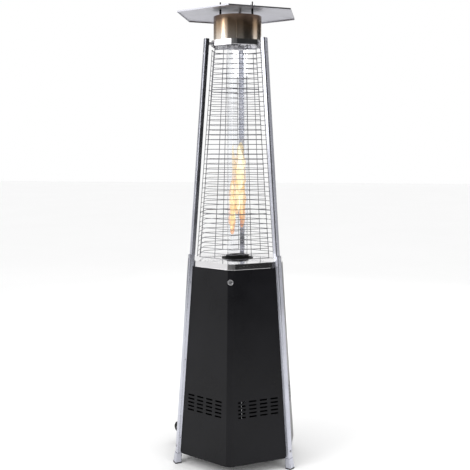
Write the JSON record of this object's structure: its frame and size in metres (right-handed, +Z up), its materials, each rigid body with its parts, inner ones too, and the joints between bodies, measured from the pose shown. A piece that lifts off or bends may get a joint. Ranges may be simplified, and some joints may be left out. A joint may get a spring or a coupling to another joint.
{
  "type": "outdoor gas heater",
  "caption": "Free-standing patio heater: tapering hexagonal tower with a glass flame tube in a wire cage, a lockable gas-cylinder base and a flat reflector.",
  "frame": {"origin": "on the floor, at the middle of the three feet, on the tower's axis", "axes": "+Z up the tower's axis, -Y to the front corner with the door's lock, +X to the viewer's right"},
  "size_m": [0.6558, 0.6473, 2.224],
  "materials": {
    "leg_aluminium": "satin",
    "black_panel": "satin powder coat",
    "floor_steel": "matt powder coat",
    "polished_steel": "mirror polished",
    "heat_tinted_steel": "mirror polished, heat tinted",
    "reflector_aluminium": "brushed",
    "guard_wire": "polished wire",
    "tube_glass": "clear borosilicate",
    "seal_silicone": "matt",
    "burner_black": "heatproof matt",
    "burner_steel": "perforated",
    "electrode_ceramic": "glazed ceramic",
    "fastener_steel": "zinc plated",
    "stud_black": "black oxide",
    "lock_chrome": "satin chrome",
    "valve_brass": "machined",
    "pipe_aluminium": "drawn tube",
    "thermo_copper": "drawn copper",
    "lead_insulation": "silicone sleeve",
    "black_plastic": "moulded",
    "button_red": "moulded",
    "wheel_rubber": "moulded",
    "foot_rubber": "moulded"
  },
  "bodies": {
    "frame": {"axle_caps": "fastener_steel", "burner_bowl": "burner_black", "burner_head": "burner_steel", "burner_pipe": "pipe_aluminium", "collar": "heat_tinted_steel", "control_plate": "floor_steel", "cylinder_stops": "floor_steel", "deck": "polished_steel", "deck_brackets": "floor_steel", "dome_bolts": "fastener_steel", "door_pivot_rod": "fastener_steel", "floor_plate": "floor_steel", "foot_pads": "foot_rubber", "foot_shoes": "leg_aluminium", "frame_bolts": "fastener_steel", "frame_spacers": "fastener_steel", "gas_valve": "valve_brass", "glass_tube": "tube_glass", "guard_front": "guard_wire", "guard_rear_left": "guard_wire", "guard_rear_right": "guard_wire", "hex_nuts": "fastener_steel", "igniter_body": "black_plastic", "ignition_lead": "lead_insulation", "joiners": "fastener_steel", "leg_left": "leg_aluminium", "leg_rear": "leg_aluminium", "leg_right": "leg_aluminium", "panel_screws": "fastener_steel", "pilot_bracket": "burner_steel", "pilot_burner": "burner_steel", "pilot_pipe": "pipe_aluminium", "post_left": "leg_aluminium", "post_rear": "leg_aluminium", "post_right": "leg_aluminium", "reflector": "reflector_aluminium", "reflector_studs": "stud_black", "side_panel_rear_left": "black_panel", "side_panel_rear_right": "black_panel", "spark_electrode": "electrode_ceramic", "stud_spacers": "stud_black", "thermocouple": "burner_steel", "thermocouple_lead": "thermo_copper", "tilt_switch": "black_plastic", "top_frame": "polished_steel", "tube_collar_ring": "burner_steel", "tube_seal": "seal_silicone", "tube_seat": "burner_black", "wheel_axle": "fastener_steel", "wheel_bracket": "floor_steel", "wing_nuts": "fastener_steel"},
    "door": {"front_door": "black_panel", "lock_barrel": "lock_chrome"},
    "lock": {"lock_core": "lock_chrome", "lock_cam": "lock_chrome"},
    "stem": {"valve_stem": "fastener_steel"},
    "knob": {"control_knob": "black_plastic"},
    "igniter": {"igniter_button": "button_red"},
    "wheel_a": {"wheel_left": "wheel_rubber"},
    "wheel_b": {"wheel_right": "wheel_rubber"}
  },
  "joints": [
    {"name": "door_tilt", "type": "hinge", "parent": "frame", "child": "door", "pos_m": [0, -0.276, 0.066], "axis": [1, 0, 0], "range_deg": [0, 25]},
    {"name": "lock_turn", "type": "hinge", "parent": "door", "child": "lock", "pos_m": [0, -0.24483, 0.918], "axis": [0, 0.9971, -0.0758], "range_deg": [0, 90]},
    {"name": "stem_push", "type": "slide", "parent": "frame", "child": "stem", "axis": [0, 1, 0], "range_m": [0, 0.004], "stiffness_N_per_m": 500, "springref_m": -0.002},
    {"name": "knob_turn", "type": "hinge", "parent": "stem", "child": "knob", "pos_m": [-0.04, -0.15, 0.82], "axis": [0, -1, 0], "range_deg": [0, 180]},
    {"name": "igniter_press", "type": "slide", "parent": "frame", "child": "igniter", "axis": [0, 1, 0], "range_m": [0, 0.005], "stiffness_N_per_m": 600, "springref_m": -0.002},
    {"name": "wheel_a_spin", "type": "hinge", "parent": "frame", "child": "wheel_a", "pos_m": [-0.28334, 0.21324, 0.07], "axis": [-0.5, -0.866, 0], "continuous": true},
    {"name": "wheel_b_spin", "type": "hinge", "parent": "frame", "child": "wheel_b", "pos_m": [-0.32634, 0.13876, 0.07], "axis": [-0.5, -0.866, 0], "continuous": true}
  ]
}
